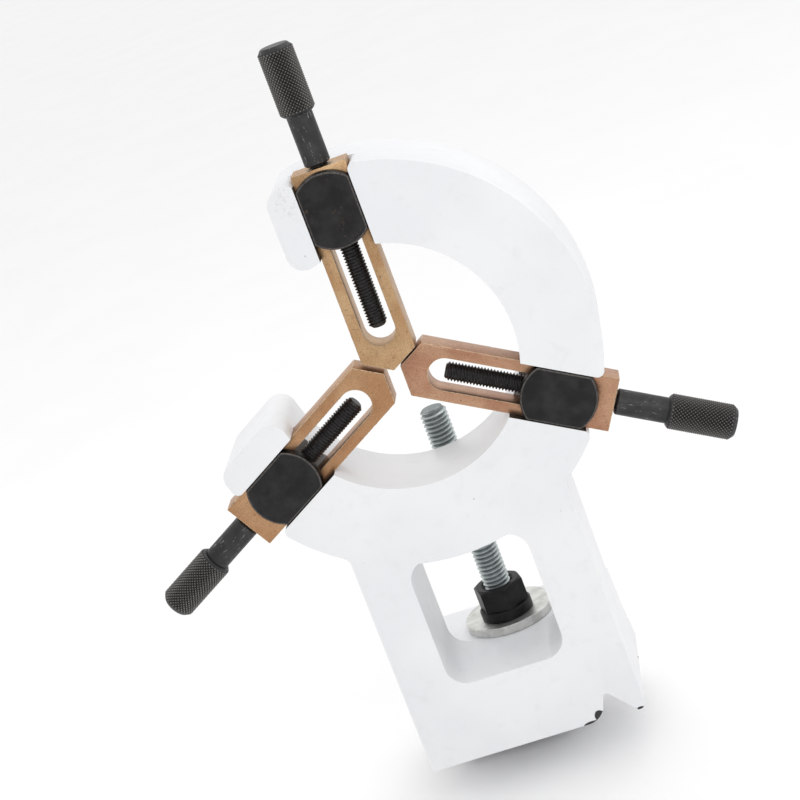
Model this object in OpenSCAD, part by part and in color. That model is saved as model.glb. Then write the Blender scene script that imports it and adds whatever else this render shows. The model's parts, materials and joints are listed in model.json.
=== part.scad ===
// Fixed steady rest for a small bench lathe: an open ring on a bed foot, with three screw-fed
// bronze fingers that carry the work. Millimetres. The origin is on the bed face, under the work
// axis, at the middle of the ring's thickness. +Z is up, +Y is towards the bed clamp.

/* [Frame] */
// Height of the work axis over the flat of the bed
axis_h = 140; // [138:0.5:150]
// Turn of the pitch circle where the fingers are clamped, as a radius
clamp_r = 54.7; // [53:0.1:56]

/* [Casting] */
// Outer radius of the ring
ring_outer_r = 68.1; // [67:0.1:70]
// Inner radius of the ring
ring_inner_r = 41.3; // [40:0.1:43]
// Thickness of the ring and the column
plate_t = 34; // [32:0.5:38]
// Half width of the two lugs that end the open ring
lug_half_w = 19; // [17:0.5:20]
// Corner radius of those lugs
lug_corner_r = 5.5; // [3:0.5:6]
// Reach of the column to the left of the work axis
column_left = 36; // [34:0.5:38]
// Reach of the column to the right of the work axis
column_right = 40; // [38:0.2:41]
// Radius in the corner between the ring and the column
waist_r = 4; // [2:0.5:8]
// Radius where the walls of a groove meet the rim and the bore
groove_corner_r = 2.2; // [1.8:0.1:3]
// Left edge of the window, left of the work axis
window_left = 19.4; // [17:0.2:20]
// Right edge of the window, right of the work axis
window_right = 21.7; // [20:0.1:22]
// Top edge of the window over the bed face
window_top = 74.2; // [70:0.1:76]
// Corner radius of the window
window_r = 7.5; // [4:0.5:10]
// Height of the foot, which is also the sill of the window
foot_h = 27.3; // [24:0.1:30]
// How far the foot's right side is drawn in behind the column
foot_draw_in = 1.4; // [1:0.1:4]
// Reach of the foot behind the middle of the ring
foot_back = 47; // [46:0.5:52]
// Radius of the foot's two back corners
foot_corner_r = 8; // [4:0.5:10]
// Depth of the vee notch
vee_depth = 9; // [7:0.1:10]
// Run of the notch's sloping outer wall
vee_run = 8; // [7:0.1:9]
// Run of the notch's steep inner wall
vee_inner_run = 3; // [2:0.1:4]
// Width of the narrow flat in the top of the notch
vee_flat = 1.5; // [1:0.1:2]
// Radius where the steep wall meets the bed face
vee_corner_r = 7; // [3:0.5:8]
// Width of the toe outside the notch
toe_w = 2.7; // [2.5:0.1:3.5]
// Radius on the outer edge of the toe
toe_r = 2; // [1:0.1:2.4]

/* [Fingers] */
// Width of a finger
finger_w = 18.3; // [17:0.1:20]
// Thickness of a finger
finger_t = 9.6; // [9:0.1:10]
// Length of a finger from its point to its outer end
finger_l = 70.2; // [69:0.1:72]
// Half angle of a finger's point
tip_half_angle = 60; // [58:1:62]
// Width of the slot in a finger
slot_w = 10.8; // [10.4:0.1:11]
// Distance from the point to the slot
slot_start = 9.1; // [8:0.1:10]
// Wall that closes the outer end of the slot
end_wall = 7.1; // [6.9:0.1:7.5]
// Radius in the two corners at the outer end of the slot
slot_corner_r = 2; // [1:0.1:2]
// Depth of a finger's front face below the face of the ring
finger_recess = 3.6; // [3.4:0.1:4]

/* [Adjusting screws] */
// Major diameter of the thread
feed_d = 6.35; // [6:0.05:6.5]
// Distance from the finger's point to the inner end of the thread
feed_start = 14.6; // [14:0.1:16]
// Diameter of the plain shank
shank_d = 8.6; // [8:0.1:9]
// Length of the plain shank
shank_l = 17.1; // [15:0.1:20]
// Diameter of the knurled grip
grip_d = 11.9; // [11:0.1:12.7]
// Length of the knurled grip
grip_l = 22.5; // [20:0.1:25]

/* [Finger clamps] */
// Diameter of the clamp stud's head
head_d = 25.4; // [24:0.1:26]
// Width over the two flats of that head
head_flats = 18.1; // [17:0.1:18.2]
// Thickness of that head
head_t = 3.75; // [3:0.05:4]
// Diameter of the stud inside the slot
stud_d = 10.6; // [10.3:0.05:10.7]
// Major diameter of the stud's threaded end
stud_thread_d = 7.94; // [7.9:0.01:8]
// Width over the flats of the clamp nuts
clamp_nut_af = 12.7; // [12:0.1:13]
// Height of the clamp nuts
clamp_nut_h = 6.8; // [6:0.1:8]

/* [Bed clamp] */
// Place of the bolt right of the work axis
bolt_x = 1.5; // [0:0.1:3]
// Place of the bolt behind the middle of the ring
bolt_y = 25.6; // [25:0.1:27]
// Major diameter of the bolt
bolt_d = 9.525; // [9.4:0.005:10]
// Height of the bolt's upper end over the bed face
bolt_top = 110.5; // [100:0.5:112]
// Place of the large washer behind the middle of the ring
washer_y = 28.4; // [28:0.1:28.4]
// Outer diameter of the large washer
washer_d = 31.8; // [30:0.1:34]
// Inner diameter of the large washer
washer_bore = 15.2; // [15.2:0.1:16]
// Thickness of the large washer
washer_t = 3.2; // [2.5:0.1:4]
// Width over the flats of the collar nut
nut_af = 15.88; // [15:0.01:16]
// Overall height of the collar nut
nut_h = 12; // [11.5:0.1:13]
// Reach of the clamp plate's long arm, from the bolt
plate_long = 34; // [28:1:36]
// Reach of the clamp plate's short arm, from the bolt
plate_short = 12; // [11:0.5:12]
// Width of the clamp plate
plate_w = 26; // [24:1:28]
// Thickness of the clamp plate
plate_h = 8; // [7:0.1:9]
// Gap between the foot and the clamp plate before the nut is tightened
plate_gap = 3; // [2.5:0.1:4]

/* [Hidden] */

$fn = 96;
eps = 0.01;
past = 20;              // how far a cutter runs past the metal
face_gap = 0.05;        // gap between faces that slide on each other
fit = 0.05;             // radial clearance of a running fit
bolt_play = 0.8;        // how much wider a plain hole is than the thread through it
slide_play = 0.2;       // how much wider a groove or hole is than the part that slides in it
corner_play = 0.4;      // how far a nut's turned cone starts outside its corners

// Stations: angle of each finger and the radius where its point stands
TOP = 0;
RIGHT = 1;
LEFT = 2;
angles = [90, -30, 210];
tip_r = [-2, 2.7, 4];

front_y = -plate_t / 2;
back_y = plate_t / 2;
finger_y = front_y + finger_recess;
screw_y = finger_y + finger_t / 2;
groove_d = finger_recess + finger_t + face_gap;
groove_w = finger_w + slide_play;
column_top = axis_h - ring_inner_r - 3;         // inside the ring's band from side to side
toe_rise = 4;           // height of the foot's almost upright right edge
draw_in_z = 12;         // height where the foot's right side is fully drawn in

clip_t = 0.8;
clip_d = 7.8;
clip_seat_d = 5.2;
clip_gap = 3;
clip_play = 0.1;
clip_s = finger_l - end_wall - clip_t - clip_play;   // clip's inner face, from the finger's point
shoulder_s = finger_l + 0.7;                    // shank's inner face, from the finger's point
shank_chamfer = 0.5;
grip_chamfer = 0.8;

stud_step = 5;          // how far inside the back face the stud steps down to its thread
stud_end = 2.5;         // thread that shows beyond the nut
stud_step_y = back_y - stud_step;
clamp_washer_d = 19;
clamp_washer_t = 1.6;
clamp_nut_y = back_y + clamp_washer_t + face_gap;
clamp_nut_chamfer = 0.6;

nut_collar_d = 18.6;
nut_collar_h = 3.6;
nut_z = foot_h + washer_t + face_gap;
nut_turn = -13;         // where the nut stands on its thread
nut_chamfer = 1;
countersink = 2.4;      // how much wider the nut's bore is at its upper face
bolt_chamfer = 1;
bolt_head_af = 14.29;
bolt_head_h = 5.6;
plate_corner_r = 6;
plate_z = -plate_gap - plate_h;                 // underside of the clamp plate

// ---- helpers ----

// Local frame of a finger: X outwards along the finger, Y through the ring, Z across the finger
module station(i) {
    translate([0, 0, axis_h]) rotate([0, -angles[i], 0]) children();
}

// A 2D outline drawn in X and Z, extruded from y0 towards +Y
module slab(y0, t) {
    translate([0, y0 + t, 0]) rotate([90, 0, 0]) linear_extrude(t) children();
}

// A cylinder along X from x0
module rod_x(x0, l, d) {
    translate([x0, 0, 0]) rotate([0, 90, 0]) cylinder(d = d, h = l);
}

// A cylinder along X with both edges chamfered by c
module chamfered_rod_x(x0, l, d, c) {
    translate([x0, 0, 0]) rotate([0, 90, 0]) {
        cylinder(d1 = d - 2 * c, d2 = d, h = c);
        translate([0, 0, c]) cylinder(d = d, h = l - 2 * c);
        translate([0, 0, l - c]) cylinder(d1 = d, d2 = d - 2 * c, h = c);
    }
}

// A cylinder along Y from y0
module rod_y(y0, l, d) {
    translate([0, y0, 0]) rotate([-90, 0, 0]) cylinder(d = d, h = l);
}

module rounded_rect(x0, y0, x1, y1, r) {
    translate([x0 + r, y0]) square([x1 - x0 - 2 * r, y1 - y0]);
    translate([x0, y0 + r]) square([x1 - x0, y1 - y0 - 2 * r]);
    for (x = [x0 + r, x1 - r], y = [y0 + r, y1 - r]) translate([x, y]) circle(r);
}

// A hexagonal nut along Z with its upper corners turned off
module hex_prism(af, h, c) {
    corner_d = af / cos(30);
    intersection() {
        cylinder(d = corner_d, h = h, $fn = 6);
        union() {
            cylinder(d = corner_d + 2 * corner_play, h = h - c);
            translate([0, 0, h - c])
                cylinder(d1 = corner_d + corner_play, d2 = corner_d - 3 * c, h = c);
        }
    }
}

// ---- casting ----

// Everything beyond one lug, in the finger's own frame, with the lug's two corners rounded
module lug_cut() {
    r = lug_corner_r;
    t = lug_half_w - r;
    out = [sqrt(pow(ring_outer_r - r, 2) - t * t), t];
    in = [sqrt(pow(ring_inner_r + r, 2) - t * t), t];
    translate([0, lug_half_w]) square([ring_outer_r + past, ring_outer_r + past]);
    difference() {
        polygon([out, out + [0, past], out + [past, past], out + past * out / norm(out)]);
        translate(out) circle(r);
    }
    difference() {
        polygon([in, in + [0, past], in + [-past, past], in - past * in / norm(in)]);
        translate(in) circle(r);
    }
}

// The two corners that one wall of a groove makes with the rim and the bore, rounded off
module groove_corners() {
    r = groove_corner_r;
    wall = groove_w / 2 - eps;
    t = groove_w / 2 + r;
    out = [sqrt(pow(ring_outer_r - r, 2) - t * t), t];
    in = [sqrt(pow(ring_inner_r + r, 2) - t * t), t];
    difference() {
        polygon([out, [out[0], wall], [out[0] + past, wall], out + past * out / norm(out)]);
        translate(out) circle(r);
    }
    difference() {
        polygon([in, [in[0], wall], [in[0] - past, wall], in - past * in / norm(in)]);
        translate(in) circle(r);
    }
}

// The corner between the ring and one side of the column, side = -1 left or 1 right
module waist(side, reach) {
    x = reach + waist_r;
    z = -sqrt(pow(ring_outer_r + waist_r, 2) - x * x);
    mirror([side < 0 ? 1 : 0, 0]) difference() {
        polygon([[x, z], [reach - 1, z], [reach - 1, z + past], [x, z] * ring_outer_r / norm([x, z])]);
        translate([x, z]) circle(waist_r);
    }
}

module ring_and_column() {
    translate([0, axis_h]) {
        difference() {
            circle(ring_outer_r, $fn = 180);
            circle(ring_inner_r, $fn = 180);
            rotate(angles[TOP]) lug_cut();
            rotate(angles[LEFT]) mirror([0, 1]) lug_cut();
        }
        waist(-1, column_left);
        waist(1, column_right);
    }
    difference() {
        translate([-column_left, 0]) square([column_left + column_right, column_top]);
        rounded_rect(-window_left, foot_h, window_right, window_top, window_r);
    }
}

// The foot's block behind the column, with its right side drawn in above the toe
module foot() {
    intersection() {
        linear_extrude(foot_h) rounded_rect(-column_left, 0, column_right, foot_back, foot_corner_r);
        slab(-1, foot_back + 2) polygon([
            [-column_left - 1, -1], [column_right + 0.1, -1], [column_right - 0.5, toe_rise],
            [column_right - foot_draw_in, draw_in_z], [column_right - foot_draw_in - 0.6, foot_h + 1],
            [-column_left - 1, foot_h + 1]
        ]);
    }
}

// The notch for the bed's vee way, with the rounded corner that its steep wall ends in
module vee_notch() {
    slope = atan2(vee_depth, vee_inner_run);
    tangent = vee_corner_r * tan(slope / 2);
    outer_x = column_right - toe_w;
    flat_x = outer_x - vee_run;
    wall_x = flat_x - vee_flat - vee_inner_run;
    centre = [wall_x - tangent, vee_corner_r - eps];
    difference() {
        polygon([
            [centre[0], -1], centre, [wall_x, 0] + tangent * [cos(slope), sin(slope)],
            [flat_x - vee_flat, vee_depth], [flat_x, vee_depth],
            [outer_x + vee_run / vee_depth, -1]
        ]);
        translate(centre) circle(vee_corner_r);
    }
}

// The corner that is rounded off the toe
module toe_cut() {
    difference() {
        translate([column_right - toe_r, -1]) square([toe_r + 1, toe_r + 1]);
        translate([column_right - toe_r + eps, toe_r - eps]) circle(toe_r);
    }
}

module casting() {
    color("gainsboro") difference() {
        union() {
            slab(front_y, plate_t) ring_and_column();
            foot();
        }
        for (i = [TOP, RIGHT, LEFT]) station(i) {
            translate([ring_inner_r - past, front_y - eps, -groove_w / 2])
                cube([ring_outer_r + past, groove_d + eps, groove_w]);
            for (side = [0, 1]) slab(front_y - 1, groove_d + 1) mirror([0, side]) groove_corners();
            translate([clamp_r, 0, 0]) rod_y(front_y, plate_t + 1, stud_d + slide_play);
        }
        slab(front_y - 1, plate_t + foot_back) {
            vee_notch();
            toe_cut();
        }
        translate([bolt_x, bolt_y, -1]) cylinder(d = bolt_d + bolt_play, h = foot_h + 2);
    }
}

// ---- fingers and their screws ----

module finger(i) {
    shoulder = finger_w / 2 / tan(tip_half_angle);
    slot_end = finger_l - end_wall;
    color("peru") station(i) translate([tip_r[i], 0, 0]) difference() {
        slab(finger_y, finger_t) difference() {
            polygon([
                [0, 0], [shoulder, finger_w / 2], [finger_l, finger_w / 2],
                [finger_l, -finger_w / 2], [shoulder, -finger_w / 2]
            ]);
            translate([slot_start + slot_w / 2, 0]) circle(d = slot_w);
            translate([slot_start + slot_w / 2, -slot_w / 2])
                square([slot_end - 2 * slot_corner_r - slot_start - slot_w / 2, slot_w]);
            rounded_rect(slot_end - 4 * slot_corner_r, -slot_w / 2, slot_end, slot_w / 2, slot_corner_r);
        }
        translate([0, screw_y, 0]) rod_x(slot_end - 1, end_wall + 2, feed_d + 2 * fit);
    }
}

module adjusting_screw(i) {
    color("dimgray") station(i) translate([tip_r[i], screw_y, 0]) {
        difference() {
            rod_x(feed_start, shoulder_s - feed_start + eps, feed_d);
            difference() {
                rod_x(clip_s - fit, clip_t + 2 * fit, feed_d + 1);
                rod_x(clip_s - 1, clip_t + 2, clip_seat_d);
            }
        }
        chamfered_rod_x(shoulder_s, shank_l + 1, shank_d, shank_chamfer);
        chamfered_rod_x(shoulder_s + shank_l, grip_l, grip_d, grip_chamfer);
    }
}

module retaining_clip(i) {
    color("silver") station(i) translate([tip_r[i], screw_y, 0]) difference() {
        rod_x(clip_s, clip_t, clip_d);
        rod_x(clip_s - 1, clip_t + 2, clip_seat_d + 2 * fit);
        translate([clip_s - 1, -clip_gap / 2, 0]) cube([clip_t + 2, clip_gap, clip_d]);
    }
}

// ---- finger clamps ----

module clamp_stud(i) {
    head_y = finger_y - face_gap - head_t;
    end_y = clamp_nut_y + clamp_nut_h + stud_end;
    color("darkslategray") station(i) translate([clamp_r, 0, 0]) difference() {
        union() {
            intersection() {
                rod_y(head_y, head_t, head_d);
                translate([-head_d / 2, head_y, -head_flats / 2])
                    cube([head_d, head_t, head_flats]);
            }
            rod_y(head_y + head_t - eps, stud_step_y - head_y - head_t + eps, stud_d);
            rod_y(stud_step_y - eps, end_y - stud_step_y + eps, stud_thread_d);
        }
        translate([0, screw_y, 0]) rod_x(-head_d / 2, head_d, feed_d + 2 * fit);
    }
}

module clamp_washer(i) {
    color("silver") station(i) translate([clamp_r, 0, 0]) difference() {
        rod_y(back_y, clamp_washer_t, clamp_washer_d);
        rod_y(back_y - 1, clamp_washer_t + 2, stud_thread_d + bolt_play);
    }
}

module clamp_nut(i) {
    color("dimgray") station(i) translate([clamp_r, clamp_nut_y, 0]) rotate([-90, 0, 0])
        difference() {
            hex_prism(clamp_nut_af, clamp_nut_h, clamp_nut_chamfer);
            translate([0, 0, -1]) cylinder(d = stud_thread_d + 2 * fit, h = clamp_nut_h + 2);
        }
}

// ---- bed clamp ----

module bed_bolt() {
    color("lightslategray") translate([bolt_x, bolt_y, 0]) {
        translate([0, 0, plate_z - bolt_head_h])
            cylinder(d = bolt_head_af / cos(30), h = bolt_head_h, $fn = 6);
        translate([0, 0, plate_z - eps])
            cylinder(d = bolt_d, h = bolt_top - bolt_chamfer - plate_z + eps);
        translate([0, 0, bolt_top - bolt_chamfer])
            cylinder(d1 = bolt_d, d2 = bolt_d - 2 * bolt_chamfer, h = bolt_chamfer);
    }
}

module bed_washer() {
    color("silver") translate([bolt_x, washer_y, foot_h]) difference() {
        cylinder(d = washer_d, h = washer_t);
        translate([0, 0, -1]) cylinder(d = washer_bore, h = washer_t + 2);
    }
}

module bed_nut() {
    color("dimgray") translate([bolt_x, bolt_y, nut_z]) difference() {
        union() {
            cylinder(d = nut_collar_d, h = nut_collar_h);
            rotate(nut_turn) hex_prism(nut_af, nut_h, nut_chamfer);
        }
        translate([0, 0, -1]) cylinder(d = bolt_d + 2 * fit, h = nut_h + 2);
        translate([0, 0, nut_h - 1]) cylinder(d1 = bolt_d, d2 = bolt_d + countersink, h = 1 + eps);
    }
}

module bed_clamp_plate() {
    color("gray") translate([bolt_x, bolt_y, plate_z]) difference() {
        linear_extrude(plate_h)
            rounded_rect(-plate_long, -plate_w / 2, plate_short, plate_w / 2, plate_corner_r);
        translate([0, 0, -1]) cylinder(d = bolt_d + slide_play, h = plate_h + 2);
    }
}

casting();
finger(TOP);  // top_finger
finger(RIGHT);  // right_finger
finger(LEFT);  // left_finger
adjusting_screw(TOP);  // top_adjusting_screw
adjusting_screw(RIGHT);  // right_adjusting_screw
adjusting_screw(LEFT);  // left_adjusting_screw
retaining_clip(TOP);  // top_retaining_clip
retaining_clip(RIGHT);  // right_retaining_clip
retaining_clip(LEFT);  // left_retaining_clip
clamp_stud(TOP);  // top_clamp_stud
clamp_stud(RIGHT);  // right_clamp_stud
clamp_stud(LEFT);  // left_clamp_stud
clamp_washer(TOP);  // top_clamp_washer
clamp_washer(RIGHT);  // right_clamp_washer
clamp_washer(LEFT);  // left_clamp_washer
clamp_nut(TOP);  // top_clamp_nut
clamp_nut(RIGHT);  // right_clamp_nut
clamp_nut(LEFT);  // left_clamp_nut
bed_bolt();
bed_washer();
bed_nut();
bed_clamp_plate();
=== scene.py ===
"""Lathe steady rest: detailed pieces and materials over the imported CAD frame.

Every piece is placed from the frame: boxes of the CAD nodes, the joints' axes and the record's mounts.
Lengths are in metres; MM turns a length in millimetres into metres.
"""
import json
import math

import bmesh
import bpy
from mathutils import Matrix, Vector


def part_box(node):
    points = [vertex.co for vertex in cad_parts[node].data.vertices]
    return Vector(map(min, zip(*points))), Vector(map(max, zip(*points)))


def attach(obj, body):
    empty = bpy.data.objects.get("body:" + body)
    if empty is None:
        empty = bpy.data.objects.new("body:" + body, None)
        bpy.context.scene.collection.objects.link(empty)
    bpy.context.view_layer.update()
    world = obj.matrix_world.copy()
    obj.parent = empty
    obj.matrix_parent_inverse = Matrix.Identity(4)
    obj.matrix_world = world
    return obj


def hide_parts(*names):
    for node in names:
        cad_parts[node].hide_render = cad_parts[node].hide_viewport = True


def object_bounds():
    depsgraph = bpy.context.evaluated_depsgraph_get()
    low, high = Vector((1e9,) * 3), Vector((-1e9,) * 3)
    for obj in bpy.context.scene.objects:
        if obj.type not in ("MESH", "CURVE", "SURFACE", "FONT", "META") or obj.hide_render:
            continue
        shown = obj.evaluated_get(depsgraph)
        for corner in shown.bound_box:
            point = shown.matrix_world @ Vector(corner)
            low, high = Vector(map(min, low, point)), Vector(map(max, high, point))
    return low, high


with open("model.json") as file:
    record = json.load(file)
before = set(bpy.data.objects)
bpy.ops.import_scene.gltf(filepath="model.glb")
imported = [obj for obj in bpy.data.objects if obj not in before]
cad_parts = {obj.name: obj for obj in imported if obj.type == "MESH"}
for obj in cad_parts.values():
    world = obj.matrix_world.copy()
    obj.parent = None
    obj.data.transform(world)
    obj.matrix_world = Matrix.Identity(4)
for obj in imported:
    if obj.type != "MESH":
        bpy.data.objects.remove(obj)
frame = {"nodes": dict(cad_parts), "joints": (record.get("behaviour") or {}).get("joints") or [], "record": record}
cad_low, cad_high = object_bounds()

MM = 0.001
NODES = frame["nodes"]
JOINTS = {j["name"]: j for j in frame["joints"]}
MOUNTS = {m["name"]: Vector(m["pos_m"]) for m in frame["record"]["mounts"]}
AXIS_Z = MOUNTS["work_axis"].z
STATIONS = ["top", "right", "left"]

# Threads of the feed screws, the clamp studs and the bed bolt: pitches and outer radii
FEED_PITCH = 25.4 / 24 * MM
STUD_PITCH = 25.4 / 18 * MM
BOLT_PITCH = 25.4 / 16 * MM
FEED_RADIUS = 3.175 * MM
STUD_THREAD_RADIUS = 3.97 * MM
BOLT_RADIUS = 4.7625 * MM
THREAD_DEPTH = 0.58             # as a share of the pitch
NUT_PLAY = 0.05 * MM            # between a thread's outer radius and its nut's bore

# Adjusting screw
GRIP_LENGTH = 22.5 * MM
GRIP_RADIUS = 5.95 * MM
SHANK_LENGTH = 17.1 * MM
SHANK_RADIUS = 4.3 * MM
KNURL_DEPTH = 0.50 * MM
KNURL_STARTS = 29

# Clamp stud: radius of its body, and where behind the ring's middle plane it steps down to its thread
STUD_RADIUS = 5.3 * MM
THREAD_STEP = 12 * MM

# Bed nut, and the radii of the washers' bores
NUT_FLATS = 15.88 * MM
NUT_TURN = math.radians(-13)
COLLAR_HEIGHT = 3.6 * MM
BED_WASHER_BORE = 7.6 * MM
CLAMP_WASHER_BORE = 4.4 * MM

# Edges of the casting, and how its machined places are told from its cast ones
CAST_EDGE = 1.5 * MM
MACHINED_EDGE = 0.25 * MM
GROOVE_START = 30 * MM          # from the work axis, well inside the bore
GROOVE_MARGIN = 0.3 * MM        # how far past the finger's box its groove may reach
RIM_CORNER = 8 * MM             # only a corner with the rim runs this far through the ring
HOLE_REACH = 7 * MM             # from the axis of a drilled hole to past its edge

# Meshes
WELD = 0.002 * MM               # points this close become one
FLAT_ANGLE = 0.6                # faces that turn by less, in degrees, become one
CRISP_ANGLE = 24                # edges of turned pieces that turn by more, in degrees, stay sharp
HEX_SEGMENTS = 144              # a multiple of 6, so that the corners of a hexagon are kept


# ---------------------------------------------------------------- places

def station_matrix(name):
    """Frame of one finger: X outwards, Y through the ring, Z across the finger, origin on the work axis."""
    out = Vector(JOINTS[name + "_finger_slide"]["axis"]).normalized()
    depth = Vector((0, 1, 0))
    across = out.cross(depth)
    turn = Matrix((out, depth, across)).transposed().to_4x4()
    return Matrix.Translation((0, 0, AXIS_Z)) @ turn


def local_box(node, matrix):
    """Lowest and highest corner of a CAD node in another frame."""
    inverse = matrix.inverted()
    points = [inverse @ v.co for v in NODES[node].data.vertices]
    low = Vector(min(p[i] for p in points) for i in range(3))
    high = Vector(max(p[i] for p in points) for i in range(3))
    return low, high


def add_piece(name, mesh, body, node, matrix=Matrix.Identity(4)):
    """Links a finished mesh as a piece that rides on body and stands for a CAD node."""
    obj = bpy.data.objects.new(name, mesh)
    bpy.context.scene.collection.objects.link(obj)
    obj.matrix_world = matrix
    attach(obj, body)
    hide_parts(node)


# ---------------------------------------------------------------- meshes

def shade(mesh, angle=35):
    """Smooth shading with the edges sharper than angle left crisp."""
    bm = bmesh.new()
    bm.from_mesh(mesh)
    bm.normal_update()
    for face in bm.faces:
        face.smooth = True
    for edge in bm.edges:
        edge.smooth = len(edge.link_faces) == 2 and edge.calc_face_angle() < math.radians(angle)
    bm.to_mesh(mesh)
    bm.free()
    return mesh


def cad_bmesh(node, matrix=Matrix.Identity(4)):
    """A CAD node's shape in another frame, with its flat faces made whole again."""
    bm = bmesh.new()
    bm.from_mesh(NODES[node].data)
    bm.transform(matrix.inverted())
    bmesh.ops.remove_doubles(bm, verts=bm.verts, dist=WELD)
    bmesh.ops.dissolve_limit(
        bm, angle_limit=math.radians(FLAT_ANGLE), verts=bm.verts, edges=bm.edges,
        use_dissolve_boundaries=False,
    )
    return bm


def bevel_edges(bm, width, segments, chosen=lambda edge: True, sharp=25, material=-1):
    """Rounds the edges that turn by more than sharp degrees and that chosen accepts.

    material is the index the new faces get, or -1 for that of their neighbours.
    """
    bm.normal_update()
    edges = [
        e for e in bm.edges
        if len(e.link_faces) == 2 and abs(e.calc_face_angle()) > math.radians(sharp) and chosen(e)
    ]
    bmesh.ops.bevel(
        bm, geom=edges, offset=width, offset_type="OFFSET", segments=segments, profile=0.5,
        affect="EDGES", clamp_overlap=True, loop_slide=True, material=material,
    )


def finish_mesh(name, bm, materials, angle=35):
    mesh = bpy.data.meshes.new(name)
    bmesh.ops.recalc_face_normals(bm, faces=bm.faces)
    bm.to_mesh(mesh)
    bm.free()
    for material in materials:
        mesh.materials.append(material)
    return shade(mesh, angle)


def turned_point(bm, matrix, radius, angle, height):
    """A new vertex at a radius, angle and height about Z, put in place by matrix."""
    return bm.verts.new(matrix @ Vector((radius * math.cos(angle), radius * math.sin(angle), height)))


def lathe(bm, profile, segments=96, material=0, matrix=Matrix.Identity(4)):
    """Turns a profile about Z. A point of it is (radius, height), or a function of the angle that gives them.

    A radius of 0 closes the end.
    """
    rings = []
    for point in profile:
        if not callable(point) and point[0] == 0:
            rings.append([bm.verts.new(matrix @ Vector((0, 0, point[1])))])
            continue
        ring = []
        for i in range(segments):
            angle = math.tau * i / segments
            radius, height = point(angle) if callable(point) else point
            ring.append(turned_point(bm, matrix, radius, angle, height))
        rings.append(ring)
    for below, above in zip(rings, rings[1:]):
        for i in range(segments):
            j = (i + 1) % segments
            corners = [below[i % len(below)], below[j % len(below)]]
            corners += [above[j % len(above)], above[i % len(above)]]
            unique = list(dict.fromkeys(corners))
            if len(unique) > 2:
                bm.faces.new(unique).material_index = material


def thread(bm, radius, pitch, start, end, lead=None, segments=40, material=0, matrix=Matrix.Identity(4)):
    """A right-hand vee thread about Z from start to end, with true helical turns.

    lead is the height of the chamfer at both ends, by default as much as the thread is deep.
    """
    depth = THREAD_DEPTH * pitch
    lead = depth if lead is None else lead
    # One turn's outline: (share of the pitch, share of the depth), from root to crest and back
    steps = [(0.00, 1.0), (0.06, 1.0), (0.44, 0.0), (0.56, 0.0), (0.94, 1.0)]
    turns = math.ceil((end - start) / pitch) + 2
    rows = []
    for turn in range(-1, turns):
        for offset, root in steps:
            rows.append((turn + offset, root))
    grid = []
    for turn, root in rows:
        ring = []
        for i in range(segments + 1):
            height = start + pitch * (turn + i / segments)
            kept = min(max(height, start), end)
            taper = max(0.0, lead - (kept - start), lead - (end - kept))
            r = min(radius - depth * root, radius - taper)
            if kept != height:
                r = radius - max(lead, depth)
            angle = math.tau * i / segments
            ring.append(turned_point(bm, matrix, r, angle, kept))
        grid.append(ring)
    made = [v for ring in grid for v in ring]
    faces = []
    for below, above in zip(grid, grid[1:]):
        for i in range(segments):
            face = bm.faces.new((below[i], below[i + 1], above[i + 1], above[i]))
            face.material_index = material
            faces.append(face)
    bmesh.ops.remove_doubles(bm, verts=made, dist=WELD / 2)
    edges = list({e for f in faces if f.is_valid for e in f.edges if e.is_valid and e.is_boundary})
    if edges:
        filled = bmesh.ops.holes_fill(bm, edges=edges, sides=0)
        for face in filled["faces"]:
            face.material_index = material


def knurl(bm, radius, depth, starts, start, end, material=0, matrix=Matrix.Identity(4)):
    """A diamond knurl about Z: two crossing sets of vee grooves that leave rows of low pyramids."""
    columns = 2 * starts
    step = math.pi * radius / starts
    count = max(2, round((end - start) / step))
    grid = []
    for n in range(count + 1):
        height = start + (end - start) * n / count
        ring = []
        for m in range(columns):
            peak = (m + n) % 2 and 0 < n < count
            r = radius if peak else radius - depth
            angle = math.tau * m / columns
            ring.append(turned_point(bm, matrix, r, angle, height))
        grid.append(ring)
    for n in range(count):
        for m in range(columns):
            a, b = grid[n][m], grid[n][(m + 1) % columns]
            c, d = grid[n + 1][(m + 1) % columns], grid[n + 1][m]
            split = ((a, b, c), (a, c, d)) if (m + n) % 2 == 0 else ((a, b, d), (b, c, d))
            for corners in split:
                bm.faces.new(corners).material_index = material


# ---------------------------------------------------------------- materials

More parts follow.
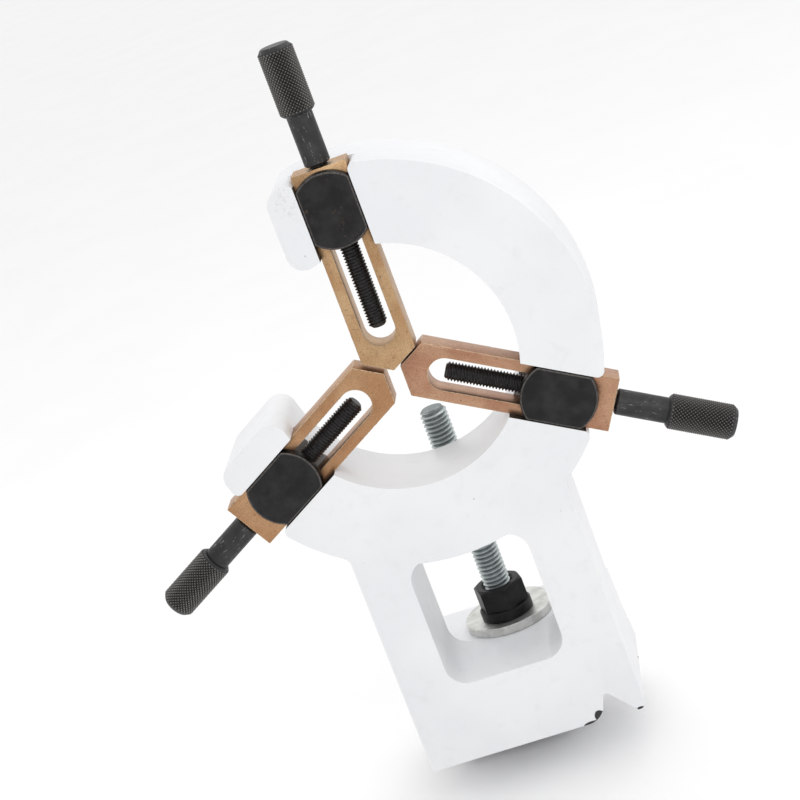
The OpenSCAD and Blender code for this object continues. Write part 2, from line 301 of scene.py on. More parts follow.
class Shader:
    """A material under construction: short names for the nodes that the finishes share."""

    def __init__(self, name, roughness=0.5, metallic=0.0):
        self.material = bpy.data.materials.new(name)
        self.material.use_nodes = True
        self.tree = self.material.node_tree
        self.tree.nodes.clear()
        self.output = self.tree.nodes.new("ShaderNodeOutputMaterial")
        self.surface = self.tree.nodes.new("ShaderNodeBsdfPrincipled")
        self.link(self.surface.outputs[0], self.output.inputs["Surface"])
        self.surface.inputs["Roughness"].default_value = roughness
        self.surface.inputs["Metallic"].default_value = metallic
        self.place = self.tree.nodes.new("ShaderNodeTexCoord").outputs["Object"]
        self.heights = []

    def link(self, source, target):
        self.tree.links.new(source, target)

    def set(self, node, socket, value):
        if isinstance(value, bpy.types.NodeSocket):
            self.link(value, node.inputs[socket])
        else:
            node.inputs[socket].default_value = value

    def math(self, operation, a, b=0.0, c=0.0):
        node = self.tree.nodes.new("ShaderNodeMath")
        node.operation = operation
        for i, value in enumerate((a, b, c)):
            self.set(node, i, value)
        return node.outputs[0]

    def stretched(self, scale, place=None):
        """The place with each axis scaled, for grain that runs one way."""
        node = self.tree.nodes.new("ShaderNodeMapping")
        node.inputs["Scale"].default_value = scale
        self.link(place or self.place, node.inputs["Vector"])
        return node.outputs[0]

    def noise(self, size, detail=3.0, roughness=0.5, place=None, offset=0.0):
        """Noise whose features measure about size, in metres."""
        node = self.tree.nodes.new("ShaderNodeTexNoise")
        node.noise_dimensions = "4D"
        node.inputs["Scale"].default_value = 1 / size
        node.inputs["Detail"].default_value = detail
        node.inputs["Roughness"].default_value = roughness
        node.inputs["W"].default_value = offset
        self.link(place or self.place, node.inputs["Vector"])
        return node.outputs["Fac"]

    def specks(self, spacing, radius, offset=0.0):
        """A mask of sparse small round spots."""
        shifted = self.tree.nodes.new("ShaderNodeMapping")
        shifted.inputs["Location"].default_value = (offset, offset * 0.7, -offset)
        self.link(self.place, shifted.inputs["Vector"])
        node = self.tree.nodes.new("ShaderNodeTexVoronoi")
        node.inputs["Scale"].default_value = 1 / spacing
        self.link(shifted.outputs[0], node.inputs["Vector"])
        return self.ramp(node.outputs["Distance"], radius / spacing, 0.55 * radius / spacing)

    def ramp(self, value, low, high):
        """0 at low and 1 at high, smooth between them. low may be over high."""
        node = self.tree.nodes.new("ShaderNodeMapRange")
        node.interpolation_type = "SMOOTHSTEP"
        if low < high:
            bounds = (low, high, 0.0, 1.0)
        else:
            bounds = (high, low, 1.0, 0.0)
        self.link(value, node.inputs["Value"])
        for i, bound in enumerate(bounds):
            node.inputs[1 + i].default_value = bound
        return node.outputs[0]

    def length(self, vector):
        node = self.tree.nodes.new("ShaderNodeVectorMath")
        node.operation = "LENGTH"
        self.link(vector, node.inputs[0])
        return node.outputs["Value"]

    def near(self, centre, reach):
        """1 at a point of the object and 0 outside an ellipsoid of that reach."""
        node = self.tree.nodes.new("ShaderNodeMapping")
        node.vector_type = "POINT"
        node.inputs["Scale"].default_value = [1 / r for r in reach]
        node.inputs["Location"].default_value = [-c / r for c, r in zip(centre, reach)]
        self.link(self.place, node.inputs["Vector"])
        return self.ramp(self.length(node.outputs[0]), 1.0, 0.3)

    def distance_from(self, axis):
        """Distance from the object's own X, Y or Z axis."""
        node = self.tree.nodes.new("ShaderNodeMapping")
        node.inputs["Scale"].default_value = [0.0 if letter == axis else 1.0 for letter in "XYZ"]
        self.link(self.place, node.inputs["Vector"])
        return self.length(node.outputs[0])

    def mix(self, amount, a, b):
        node = self.tree.nodes.new("ShaderNodeMix")
        node.data_type = "RGBA"
        self.set(node, 0, amount)
        for socket, value in ((6, a), (7, b)):
            if isinstance(value, bpy.types.NodeSocket):
                self.link(value, node.inputs[socket])
            else:
                node.inputs[socket].default_value = (*value, 1.0)
        return node.outputs[2]

    def colour(self, value):
        self.link(value, self.surface.inputs["Base Color"])

    def roughness(self, value):
        self.link(value, self.surface.inputs["Roughness"])

    def relief(self, value, height):
        """Adds value times height, in metres, to the bump."""
        self.heights.append(self.math("MULTIPLY", value, height))

    def done(self):
        if self.heights:
            total = self.heights[0]
            for height in self.heights[1:]:
                total = self.math("ADD", total, height)
            bump = self.tree.nodes.new("ShaderNodeBump")
            bump.inputs["Strength"].default_value = 1.0
            bump.inputs["Distance"].default_value = 1.0
            self.link(total, bump.inputs["Height"])
            self.link(bump.outputs[0], self.surface.inputs["Normal"])
        return self.material


def chip_places():
    """Where the paint is knocked off: (place, reach), all near the notch and the toe of the foot."""
    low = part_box("casting")[0]
    vee = MOUNTS["bed_vee"]
    # Place from the notch's middle at the front lower edge, and reach along X, Y and Z, in millimetres
    chips = [
        ((-4.2, 0.3, 1.7), (2.6, 2.5, 3.4)),
        ((-7.5, 0.3, 0.0), (4.5, 2.0, 1.4)),
        ((9.6, 0.0, 0.2), (1.8, 2.4, 1.0)),
        ((11.4, 36.5, 0.6), (1.6, 3.2, 1.8)),
    ]
    return [
        (Vector((vee.x + x * MM, low.y + y * MM, low.z + z * MM)), [r * MM for r in reach])
        for (x, y, z), reach in chips
    ]


def enamel():
    """Pale grey machine enamel over cast iron, with orange peel, pits, grime and chipped corners."""
    s = Shader("enamel")
    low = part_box("casting")[0]
    cloud = s.noise(38 * MM, 2, 0.5)
    fine = s.noise(5 * MM, 4, 0.6, offset=3.0)
    base = s.mix(s.ramp(cloud, 0.35, 0.65), (0.79, 0.80, 0.82), (0.83, 0.838, 0.85))
    base = s.mix(s.math("MULTIPLY", s.ramp(fine, 0.52, 0.75), 0.35), base, (0.72, 0.725, 0.735))
    pits = s.specks(9 * MM, 0.33 * MM)
    gate = s.ramp(s.noise(14 * MM, 1, 0.5, offset=7.0), 0.50, 0.60)
    pits = s.math("MULTIPLY", pits, gate)
    base = s.mix(s.math("MULTIPLY", pits, 0.6), base, (0.38, 0.38, 0.40))
    ragged = s.noise(3.2 * MM, 4, 0.65, offset=11.0)
    lug = station_matrix("top") @ Vector((62 * MM, low.y, 11.5 * MM))      # beside the top finger
    specked = s.noise(0.9 * MM, 4, 0.7, offset=13.0)
    grime = s.math("MULTIPLY", s.near(lug, (8 * MM, 6 * MM, 9 * MM)), s.ramp(specked, 0.52, 0.68))
    base = s.mix(s.math("MULTIPLY", grime, 0.40), base, (0.40, 0.34, 0.27))
    chips = None
    for place, reach in chip_places():
        spot = s.near(place, reach)
        chips = spot if chips is None else s.math("MAXIMUM", chips, spot)
    chips = s.ramp(s.math("ADD", chips, s.math("MULTIPLY", ragged, 0.55)), 0.66, 0.74)
    base = s.mix(chips, base, (0.030, 0.029, 0.030))
    s.colour(base)
    rough = s.math("MULTIPLY_ADD", fine, 0.22, 0.26)
    s.roughness(s.math("ADD", rough, s.math("MULTIPLY", chips, 0.2)))
    s.surface.inputs["Specular IOR Level"].default_value = 0.45
    s.relief(s.noise(1.7 * MM, 2, 0.5, offset=5.0), 0.020 * MM)
    s.relief(s.noise(11 * MM, 3, 0.5, offset=9.0), 0.16 * MM)
    s.relief(pits, -0.12 * MM)
    s.relief(chips, -0.18 * MM)
    return s.done()


def bronze(name, warm, pale, seed):
    """Machined bearing bronze: fine grain, long scratches, tarnish and handling marks."""
    s = Shader(name, metallic=1.0)
    grit = s.noise(0.42 * MM, 5, 0.75, offset=seed)
    scratch = s.noise(0.30 * MM, 3, 0.6, place=s.stretched((0.03, 1, 1)), offset=seed + 1)
    cloud = s.noise(12 * MM, 3, 0.55, offset=seed + 2)
    blot = s.noise(1.5 * MM, 5, 0.75, offset=seed + 4)
    base = s.mix(s.ramp(cloud, 0.36, 0.66), warm, pale)
    base = s.mix(s.math("MULTIPLY", s.ramp(grit, 0.42, 0.66), 0.60), base, [c * 0.55 for c in warm])
    bright = [min(1.0, c * 1.35) for c in pale]
    base = s.mix(s.math("MULTIPLY", s.ramp(scratch, 0.58, 0.72), 0.30), base, bright)
    base = s.mix(s.math("MULTIPLY", s.ramp(blot, 0.54, 0.68), 0.50), base, [c * 0.45 for c in warm])
    stains = s.specks(7 * MM, 0.35 * MM, offset=seed * MM)
    base = s.mix(s.math("MULTIPLY", stains, 0.7), base, (0.09, 0.05, 0.03))
    s.colour(base)
    s.roughness(s.math("MULTIPLY_ADD", grit, 0.35, 0.24))
    s.relief(grit, 0.016 * MM)
    s.relief(scratch, 0.014 * MM)
    return s.done()


def black_oxide(name, rust=0.0, seed=0.0, lift=1.0, scratched=0.0):
    """Turned steel with a black oxide finish, rubbed grey in places.

    rust and scratched say how strong the rust patches and the long scratches are, and lift makes it paler.
    """
    s = Shader(name, metallic=0.9)
    cloud = s.noise(6 * MM, 4, 0.6, offset=seed)
    fine = s.noise(0.7 * MM, 4, 0.7, offset=seed + 3)
    low, high = [0.022 * lift] * 3, [0.036 * lift] * 3
    base = s.mix(s.ramp(cloud, 0.35, 0.7), low, high)
    rub = s.math("MULTIPLY", s.ramp(fine, 0.60, 0.78), s.ramp(cloud, 0.45, 0.65))
    base = s.mix(s.math("MULTIPLY", rub, 0.25), base, (0.16, 0.155, 0.15))
    nicks = s.specks(6 * MM, 0.20 * MM, offset=seed * MM)
    base = s.mix(s.math("MULTIPLY", nicks, 0.8), base, (0.60, 0.58, 0.55))
    if scratched:
        lines = s.noise(0.8 * MM, 3, 0.7, place=s.stretched((0.25, 1, 1)), offset=seed + 6)
        marks = s.math("MULTIPLY", s.ramp(lines, 0.61, 0.68), scratched)
        base = s.mix(marks, base, (0.45, 0.43, 0.41))
    if rust:
        ragged = s.noise(1.1 * MM, 5, 0.75, offset=seed + 8)
        field = s.ramp(s.noise(9 * MM, 2, 0.5, offset=seed + 9), 0.50, 0.62)
        patch = s.math("MULTIPLY", s.ramp(ragged, 0.54, 0.68), field)
        base = s.mix(s.math("MULTIPLY", patch, rust), base, (0.17, 0.105, 0.07))
    s.colour(base)
    s.roughness(s.math("MULTIPLY_ADD", fine, 0.25, 0.33))
    s.relief(fine, 0.010 * MM)
    s.relief(s.noise(0.25 * MM, 2, 0.5, offset=seed + 5), 0.006 * MM)
    return s.done()


def highlit_worn_edge(name, colour, roughness, seed):
    """An edge paler and smoother than the face beside it, broken by small marks: partly wear, partly a painted
    highlight along the edge.
    """
    s = Shader(name, metallic=0.95)
    marks = s.noise(0.8 * MM, 4, 0.7, offset=seed)
    s.colour(s.mix(s.ramp(marks, 0.45, 0.65), colour, [c * 0.45 for c in colour]))
    s.roughness(s.math("MULTIPLY_ADD", marks, 0.3, roughness))
    return s.done()


def bare_iron():
    """Milled cast iron in the grooves, dark, nearly black."""
    s = Shader("bare iron", metallic=0.5)
    cloud = s.noise(4 * MM, 4, 0.6)
    fine = s.noise(0.6 * MM, 4, 0.7, offset=3.0)
    base = s.mix(s.ramp(cloud, 0.35, 0.68), (0.030, 0.025, 0.021), (0.075, 0.062, 0.052))
    s.colour(s.mix(s.math("MULTIPLY", s.ramp(fine, 0.55, 0.75), 0.4), base, (0.15, 0.13, 0.115)))
    s.roughness(s.math("MULTIPLY_ADD", fine, 0.25, 0.42))
    s.relief(fine, 0.015 * MM)
    return s.done()


def knurled(radius, depth):
    """Black oxide on the knurl, worn to bright steel on the points."""
    s = Shader("knurled black steel", metallic=0.7)
    out = s.distance_from("X")
    fine = s.noise(1.6 * MM, 3, 0.6)
    uneven = s.math("ADD", out, s.math("MULTIPLY", fine, 0.10 * MM))
    worn = s.ramp(uneven, radius - 0.06 * MM, radius + 0.09 * MM)
    base = s.mix(s.ramp(out, radius - depth, radius), (0.038, 0.037, 0.036), (0.22, 0.21, 0.20))
    s.colour(s.mix(s.math("MULTIPLY", worn, 0.85), base, (0.62, 0.58, 0.52)))
    s.roughness(s.math("MULTIPLY_ADD", fine, 0.2, 0.30))
    s.relief(fine, 0.01 * MM)
    return s.done()


def black_thread():
    """Black cut thread with slightly greyer patches."""
    s = Shader("black thread", metallic=0.6)
    fine = s.noise(0.8 * MM, 3, 0.6)
    base = s.mix(s.ramp(fine, 0.4, 0.7), (0.035, 0.034, 0.035), (0.075, 0.070, 0.068))
    s.colour(base)
    s.roughness(s.math("MULTIPLY_ADD", fine, 0.2, 0.32))
    s.relief(fine, 0.01 * MM)
    return s.done()


def zinc_thread(radius, depth):
    """Zinc plated thread: grey-green flanks, darker towards the roots as painted shade, and bright along the
    crests.
    """
    s = Shader("zinc plated thread", metallic=0.9)
    out = s.distance_from("Z")
    fine = s.noise(0.7 * MM, 5, 0.75)
    cloud = s.noise(3 * MM, 3, 0.6, offset=2.0)
    # Darker towards the roots: painted shade in the thread's hollows.
    base = s.mix(s.ramp(out, radius - depth, radius - 0.3 * depth), (0.21, 0.235, 0.235), (0.50, 0.54, 0.54))
    base = s.mix(s.math("MULTIPLY", s.ramp(fine, 0.48, 0.68), 0.50), base, (0.26, 0.29, 0.29))
    base = s.mix(s.math("MULTIPLY", s.ramp(cloud, 0.5, 0.7), 0.3), base, (0.60, 0.63, 0.62))
    s.colour(base)
    s.roughness(s.math("MULTIPLY_ADD", fine, 0.3, 0.28))
    s.relief(fine, 0.05 * MM)
    return s.done()


def bright_steel(name, base_low, base_high, roughness, seed=0.0):
    """Bright steel with fine scratches, dull patches and a few dark marks."""
    s = Shader(name, metallic=1.0)
    cloud = s.noise(5 * MM, 4, 0.6, offset=seed)
    scratch = s.noise(0.35 * MM, 3, 0.7, place=s.stretched((1, 1, 0.08)), offset=seed + 1)
    base = s.mix(s.ramp(cloud, 0.35, 0.65), base_low, base_high)
    marks = s.math("MULTIPLY", s.ramp(s.noise(1.3 * MM, 4, 0.7, offset=seed + 2), 0.60, 0.70), 0.5)
    base = s.mix(marks, base, [c * 0.55 for c in base_low])
    s.colour(base)
    s.roughness(s.math("MULTIPLY_ADD", scratch, 0.25, roughness))
    s.relief(scratch, 0.006 * MM)
    s.relief(cloud, 0.02 * MM)
    return s.done()


def paper():
    """Plain pale studio paper with a faint tooth."""
    s = Shader("studio paper", roughness=0.9)
    s.colour(s.mix(s.ramp(s.noise(90 * MM, 2, 0.5), 0.3, 0.7), (0.97, 0.97, 0.97), (0.985, 0.985, 0.985)))
    s.relief(s.noise(1.5 * MM, 3, 0.6), 0.02 * MM)
    return s.done()


# ---------------------------------------------------------------- pieces

Z_TO_X = Matrix.Rotation(math.pi / 2, 4, "Y")      # lays a shape turned about Z along X
Z_TO_Y = Matrix.Rotation(-math.pi / 2, 4, "X")     # lays it along Y


def groove_places():
    """Each machined groove: (matrix into its finger's frame, half width, how deep its floor lies)."""
    grooves = []
    for name in STATIONS:
        matrix = station_matrix(name)
        high = local_box(name + "_finger", matrix)[1]
        grooves.append((matrix.inverted(), high.z + GROOVE_MARGIN, high.y + GROOVE_MARGIN))
    return grooves


def hole_places():
    """Middles of the drilled holes: those along Y as (x, None, z) and the one along Z as (x, y, None)."""
    holes = []
    for name in STATIONS:
        low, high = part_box(name + "_clamp_washer")
        holes.append(((low.x + high.x) / 2, None, (low.z + high.z) / 2))
    low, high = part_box("bed_nut")
    holes.append(((low.x + high.x) / 2, (low.y + high.y) / 2, None))
    return holes


def casting(paint, iron):
    """The painted casting: cast edges well rounded, edges of grooves and holes only broken."""
    grooves, holes = groove_places(), hole_places()
    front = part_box("casting")[0].y

    def groove_at(points):
        """The groove that holds all these points, in its own frame, or None."""
        for inverse, half_width, floor in grooves:
            local = [inverse @ p for p in points]
            if all(p.x > GROOVE_START and abs(p.z) < half_width and p.y < floor for p in local):
                return inverse, local
        return None

    def by_a_hole(point):
        for place in holes:
            gaps = [a - b for a, b in zip(point, place) if b is not None]
            if math.hypot(*gaps) < HOLE_REACH:
                return True
        return False

    def machined(edge):
        points = [v.co for v in edge.verts]
        found = groove_at(points)
        if found is None:
            return all(by_a_hole(p) for p in points)
        a, b = found[1]
        return abs(b.y - a.y) <= RIM_CORNER

    bm = cad_bmesh("casting")
    bevel_edges(bm, CAST_EDGE, 4, lambda e: not machined(e), sharp=28)
    bevel_edges(bm, MACHINED_EDGE, 2, machined, sharp=60)
    bm.normal_update()
    for face in bm.faces:
        found = groove_at([v.co for v in face.verts])
        if found and face.calc_center_median().y > front + GROOVE_MARGIN:
            normal = found[0].to_3x3() @ face.normal
            if abs(normal.z) > 0.95 or normal.y < -0.95:
                face.material_index = 1
    mesh = finish_mesh("steady_casting", bm, [paint, iron], 40)
    add_piece("steady_casting", mesh, "frame", "casting")


def softened(node, body, materials, width, matrix=Matrix.Identity(4)):
    """A CAD node with its sharp edges broken. A second material goes on those edges; on the fingers it is paler,
    wear together with a painted edge highlight.
    """
    bm = cad_bmesh(node, matrix)
    bevel_edges(bm, width, 2, material=len(materials) - 1)
    add_piece(node + "_detail", finish_mesh(node, bm, materials), body, node, matrix)


def adjusting_screw(name, black, knurl_steel, thread_steel):
    """Feed screw: cut thread, plain shank and a knurled grip, along local X."""
    node, station = name + "_adjusting_screw", station_matrix(name)
    low, high = local_box(node, station)
    middle = (low + high) / 2
    matrix = station @ Matrix.Translation((0, middle.y, 0))
    grip_r = (high.y - low.y) / 2
    grip_x = high.x - GRIP_LENGTH
    shank_x = grip_x - SHANK_LENGTH
    bm = bmesh.new()
    thread(bm, FEED_RADIUS, FEED_PITCH, low.x, shank_x + 0.4 * MM, lead=1.1 * MM, material=2, matrix=Z_TO_X)
    chamfer = 0.5 * MM
    shank_end = grip_x + 0.9 * MM
    lathe(bm, [(0, shank_x), (SHANK_RADIUS - chamfer, shank_x), (SHANK_RADIUS, shank_x + chamfer),
               (SHANK_RADIUS, shank_end), (0, shank_end)], 72, 0, Z_TO_X)
    root, bite = grip_r - KNURL_DEPTH, 0.55 * MM
    start, end = grip_x + bite, high.x - 1.2 * MM
    overlap = 0.3 * MM              # how far the ends of the grip reach into the knurl
    lathe(bm, [(0, grip_x), (root - bite, grip_x), (root, start), (root, start + overlap),
               (0, start + overlap)], 72, 0, Z_TO_X)
    knurl(bm, grip_r, KNURL_DEPTH, KNURL_STARTS, start, end, 1, Z_TO_X)
    lathe(bm, [(0, end - overlap), (root, end - overlap), (root, end), (root - 0.8 * MM, high.x - 0.2 * MM),
               (root - 1.1 * MM, high.x), (0, high.x)], 72, 0, Z_TO_X)
    mesh = finish_mesh(node, bm, [black, knurl_steel, thread_steel], CRISP_ANGLE)
    add_piece(node + "_detail", mesh, node, node, matrix)


def clamp_stud(name, black, thread_steel, rim):
    """Clamp stud with a flat-sided head in front and a threaded end behind, along local Y."""
    node, station = name + "_clamp_stud", station_matrix(name)
    low, high = local_box(node, station)
    middle = (low + high) / 2
    matrix = station @ Matrix.Translation((middle.x, 0, 0))
    radius, half = (high.x - low.x) / 2, high.z
    head_end = local_box(name + "_finger", station)[0].y - 0.05 * MM

    def outline(inset, height):
        """Ring of the head: a circle cut by two flats across local Z."""
        def point(angle):
            across = abs(math.sin(angle))
            r = radius - inset
            if r * across > half - inset:
                r = (half - inset) / across
            return r, height
        return point

    bm = bmesh.new()
    edge = 0.7 * MM
    back_edge, chamfer, step = 0.3 * MM, 0.5 * MM, THREAD_STEP
    profile = [(0, low.y), (4 * MM, low.y), outline(edge, low.y), outline(0.62 * edge, low.y + 0.10 * edge),
               outline(0.25 * edge, low.y + 0.40 * edge), outline(0, low.y + edge)]
    profile += [outline(0, head_end - back_edge), outline(back_edge, head_end), (STUD_RADIUS, head_end)]
    profile += [(STUD_RADIUS, step - chamfer), (STUD_RADIUS - chamfer, step), (0, step)]
    lathe(bm, profile, HEX_SEGMENTS, 0, Z_TO_Y)
    # The head's front rim gets the paler rim material: wear together with a painted highlight.
    for face in bm.faces:
        if low.y + 0.01 * edge < face.calc_center_median().y < low.y + 0.45 * edge:
            face.material_index = 2
    thread(bm, STUD_THREAD_RADIUS, STUD_PITCH, step - 0.2 * MM, high.y, material=1, matrix=Z_TO_Y)
    mesh = finish_mesh(node, bm, [black, thread_steel, rim], CRISP_ANGLE)
    add_piece(node + "_detail", mesh, node, node, matrix)


def hexagon(flats, angle):
    """Radius of a hexagon at an angle, one of its corners at angle 0."""
    turn = angle % (math.pi / 3) - math.pi / 6
    return flats / 2 / math.cos(turn)


def turned_corner(flats, face, height, sign):
    """Point of a hexagon's end, for lathe: turned off at 30 degrees from the radius face outwards.

    sign is 1 for the upper end and -1 for the lower.
    """
    def point(angle):
        r = hexagon(flats, angle)
        return r, height - sign * (r - face) * math.tan(math.radians(30))
    return point


def hex_turn(along_x, across, axis):
    """Turns a hexagon that has a corner on X so that it fits a box that is narrower along X."""
    return Matrix.Rotation(math.pi / 6, 4, axis) if along_x < across else Matrix.Identity(4)


def hex_profile(flats, bore, low, high):
    """Profile of a nut: bore, countersinks, and corners turned off at both ends."""
    face = flats / 2 - 0.1 * MM
    sink = 0.6 * MM
    return [
        (bore, low + sink), (bore + sink, low), (face, low), turned_corner(flats, face, low, -1),
        turned_corner(flats, face, high, 1), (face, high), (bore + sink, high), (bore, high - sink),
        (bore, low + sink),
    ]


def clamp_nut(name, steel):
    """Small hexagon nut behind the ring, along local Y."""
    node, station = name + "_clamp_nut", station_matrix(name)
    low, high = local_box(node, station)
    middle = (low + high) / 2
    matrix = station @ Matrix.Translation((middle.x, 0, 0))
    flats = min(high.x - low.x, high.z - low.z)
    turned = hex_turn(high.x - low.x, high.z - low.z, "Y")
    bm = bmesh.new()
    profile = hex_profile(flats, STUD_THREAD_RADIUS + NUT_PLAY, low.y, high.y)
    lathe(bm, profile, HEX_SEGMENTS, 0, turned @ Z_TO_Y)
    mesh = finish_mesh(node, bm, [steel], CRISP_ANGLE)
    add_piece(node + "_detail", mesh, node, node, matrix)


def bed_bolt(zinc, thread_zinc):
    """Bed bolt: hexagon head under the plate and a thread up to a chamfered end."""
    low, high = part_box("bed_bolt")
    middle = (low + high) / 2
    plate_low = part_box("bed_clamp_plate")[0]
    matrix = Matrix.Translation((middle.x, middle.y, 0))
    flats = min(high.x - low.x, high.y - low.y)
    turned = hex_turn(high.x - low.x, high.y - low.y, "Z")
    face = flats / 2 - 0.1 * MM
    bm = bmesh.new()
    profile = [(0, low.z), (face, low.z), turned_corner(flats, face, low.z, -1),
               lambda angle: (hexagon(flats, angle), plate_low.z), (0, plate_low.z)]
    lathe(bm, profile, HEX_SEGMENTS, 0, turned)
    thread(bm, BOLT_RADIUS, BOLT_PITCH, plate_low.z, high.z, lead=1.2 * MM, segments=56, material=1)
    mesh = finish_mesh("bed_bolt", bm, [zinc, thread_zinc], CRISP_ANGLE)
    add_piece("bed_bolt_detail", mesh, "bed_bolt", "bed_bolt", matrix)


def bed_nut(black):
    """Collar nut: round flange under a hexagon with a countersunk bore."""
    low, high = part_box("bed_nut")
    middle = (low + high) / 2
    matrix = Matrix.Translation((middle.x, middle.y, 0)) @ Matrix.Rotation(NUT_TURN, 4, "Z")
    collar_r = (high.x - low.x) / 2
    collar_top = low.z + COLLAR_HEIGHT
    bore = BOLT_RADIUS + NUT_PLAY
    face = NUT_FLATS / 2 - 0.2 * MM
    sink = 1.2 * MM
    bm = bmesh.new()
    profile = [(bore, low.z + 0.4 * MM), (bore + 0.4 * MM, low.z), (collar_r - 0.3 * MM, low.z),
               (collar_r, low.z + 0.3 * MM), (collar_r, collar_top - 0.5 * MM),
               (collar_r - 0.5 * MM, collar_top),
               lambda angle: (hexagon(NUT_FLATS, angle), collar_top),
               turned_corner(NUT_FLATS, face, high.z, 1), (face, high.z),
               (bore + sink, high.z), (bore, high.z - sink), (bore, low.z + 0.4 * MM)]
    lathe(bm, profile, HEX_SEGMENTS)
    mesh = finish_mesh("bed_nut", bm, [black], CRISP_ANGLE)
    add_piece("bed_nut_detail", mesh, "bed_nut", "bed_nut", matrix)


def washer(node, body, steel, bore, matrix, axis):
    """Flat washer with broken edges. axis turns it from Z."""
    low, high = local_box(node, matrix)
    flat = axis.inverted()
    corners = [flat @ low, flat @ high]
    z0, z1 = sorted(c.z for c in corners)
    middle = (low + high) / 2
    radius = (high.x - low.x) / 2
    edge = min(0.35 * MM, 0.3 * (z1 - z0))
    bore_edge = 0.2 * MM
    bm = bmesh.new()
    lathe(bm, [(bore, z0), (radius - edge, z0), (radius, z0 + edge), (radius, z1 - edge), (radius - edge, z1),
               (bore + bore_edge, z1), (bore, z1 - bore_edge), (bore, z0)], 128, 0, axis)
    if axis == Z_TO_Y:
        place = matrix @ Matrix.Translation((middle.x, 0, 0))
    else:
        place = Matrix.Translation((middle.x, middle.y, 0))
    add_piece(node + "_detail", finish_mesh(node, bm, [steel], 30), body, node, place)


def build_object():
    paint = enamel()
    casting(paint, bare_iron())
    thread_black = black_thread()
    knurl_steel = knurled(GRIP_RADIUS, KNURL_DEPTH)
    # Each finger's bronze is toned to how bright it stands in the light, the top one paler: painted light and
    # shade over the bronze's own tone.
    finger_tones_with_painted_light = {
        "top": bronze("bronze, top finger", (0.47, 0.280, 0.145), (0.58, 0.395, 0.225), 1.0),
        "right": bronze("bronze, right finger", (0.43, 0.225, 0.140), (0.54, 0.330, 0.210), 21.0),
        "left": bronze("bronze, left finger", (0.43, 0.232, 0.120), (0.53, 0.320, 0.180), 41.0),
    }
    rust = {"top": 0.5, "right": 0.0, "left": 0.0}
    # Paler edges and rims: partly wear, partly painted highlight.
    bronze_edge_highlight_and_wear = highlit_worn_edge("bronze, worn edges with painted highlight", (0.62, 0.46, 0.31), 0.25, 3.0)
    steel_rim_highlight_and_wear = highlit_worn_edge("black steel, worn rims with painted highlight", (0.115, 0.105, 0.10), 0.36, 9.0)
    shank_steel = black_oxide("black steel, shanks", 0.0, 53.0, 2.0, 0.5)
    clip_steel = bright_steel("clip steel", (0.62, 0.58, 0.52), (0.78, 0.75, 0.70), 0.25, 5.0)
    washer_steel = bright_steel("washer steel", (0.54, 0.54, 0.51), (0.70, 0.70, 0.68), 0.32, 11.0)
    nut_steel = bright_steel("nut steel", (0.42, 0.42, 0.42), (0.56, 0.56, 0.55), 0.28, 17.0)
    for n, name in enumerate(STATIONS):
        station = station_matrix(name)
        black = black_oxide("black steel, " + name, rust[name], 10.0 * n)
        finger = name + "_finger"
        softened(finger, finger, [finger_tones_with_painted_light[name], bronze_edge_highlight_and_wear], 0.35 * MM, station)
        adjusting_screw(name, shank_steel, knurl_steel, thread_black)
        clamp_stud(name, black, thread_black, steel_rim_highlight_and_wear)
        clip, screw = name + "_retaining_clip", name + "_adjusting_screw"
        softened(clip, screw, [clip_steel], 0.15 * MM, station)
        washer(name + "_clamp_washer", "frame", nut_steel, CLAMP_WASHER_BORE, station, Z_TO_Y)
        clamp_nut(name, nut_steel)
    zinc = bright_steel("zinc plate", (0.40, 0.43, 0.44), (0.56, 0.60, 0.61), 0.26, 23.0)
    bed_bolt(zinc, zinc_thread(BOLT_RADIUS, THREAD_DEPTH * BOLT_PITCH))
    washer("bed_washer", "frame", washer_steel, BED_WASHER_BORE, Matrix.Identity(4), Matrix.Identity(4))
    bed_nut(black_oxide("black steel, collar nut", 0.0, 47.0, 0.8))
    bar = bright_steel("machined bar", (0.24, 0.24, 0.25), (0.36, 0.36, 0.37), 0.34, 31.0)
    softened("bed_clamp_plate", "bed_clamp_plate", [bar], 0.5 * MM)


# ---------------------------------------------------------------- studio

def floor():
    """A wide pale sheet under the object, level with its lowest point."""
    reach = 40.0
    bm = bmesh.new()
    bmesh.ops.create_grid(bm, x_segments=4, y_segments=4, size=reach)
    mesh = bpy.data.meshes.new("studio_floor")
    bm.to_mesh(mesh)
    bm.free()
    mesh.materials.append(paper())
    obj = bpy.data.objects.new("studio_floor", mesh)
    obj.location = (0, 0, cad_low.z)
    bpy.context.scene.collection.objects.link(obj)


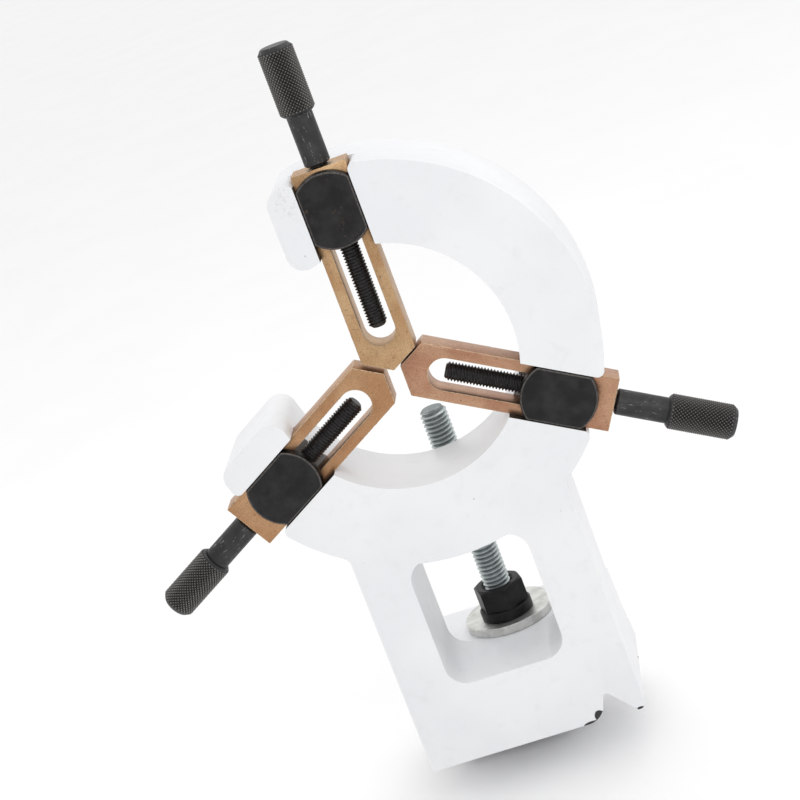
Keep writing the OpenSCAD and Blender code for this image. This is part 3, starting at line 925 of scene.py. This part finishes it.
def surround(front, back):
    """White light from all round, dimmer from the front (-Y) than from the back."""
    world = bpy.data.worlds.new("studio")
    world.use_nodes = True
    tree = world.node_tree
    tree.nodes.clear()
    output = tree.nodes.new("ShaderNodeOutputWorld")
    background = tree.nodes.new("ShaderNodeBackground")
    direction = tree.nodes.new("ShaderNodeTexCoord")
    split = tree.nodes.new("ShaderNodeSeparateXYZ")
    level = tree.nodes.new("ShaderNodeMapRange")
    level.interpolation_type = "SMOOTHSTEP"
    for i, bound in enumerate((-0.8, 0.9, front, back)):
        level.inputs[1 + i].default_value = bound
    tree.links.new(direction.outputs["Generated"], split.inputs[0])
    tree.links.new(split.outputs["Y"], level.inputs["Value"])
    tree.links.new(level.outputs[0], background.inputs["Strength"])
    tree.links.new(background.outputs[0], output.inputs["Surface"])
    bpy.context.scene.world = world


def softbox(name, direction, distance, size, watts):
    """A square soft light that looks at the middle of the object."""
    middle = (cad_low + cad_high) / 2
    light = bpy.data.lights.new(name, "AREA")
    light.shape = "SQUARE"
    light.size = size
    light.energy = watts
    obj = bpy.data.objects.new(name, light)
    obj.location = middle + Vector(direction).normalized() * distance
    obj.rotation_euler = (middle - obj.location).to_track_quat("-Z", "Y").to_euler()
    bpy.context.scene.collection.objects.link(obj)


def camera():
    """A long lens, a little to the right of the front and above it, rolled as the picture is."""
    data = bpy.data.cameras.new("camera")
    data.sensor_width = 36.0
    data.lens = 99.17
    data.shift_x = 0.0047
    data.clip_end = 200.0
    obj = bpy.data.objects.new("camera", data)
    obj.location = (0.10408, -0.69134, 0.32530)
    obj.rotation_mode = "QUATERNION"
    obj.rotation_quaternion = (0.794372, 0.581458, 0.154913, -0.082956)
    bpy.context.scene.collection.objects.link(obj)
    bpy.context.scene.camera = obj


build_object()
floor()
surround(0.93, 1.40)
softbox("key", (0.3, -1.0, 0.8), 1.2, 0.9, 3.0)
softbox("top", (0.5, 0.3, 1.6), 1.1, 0.7, 1.4)
camera()
bpy.context.scene.view_settings.view_transform = "Standard"
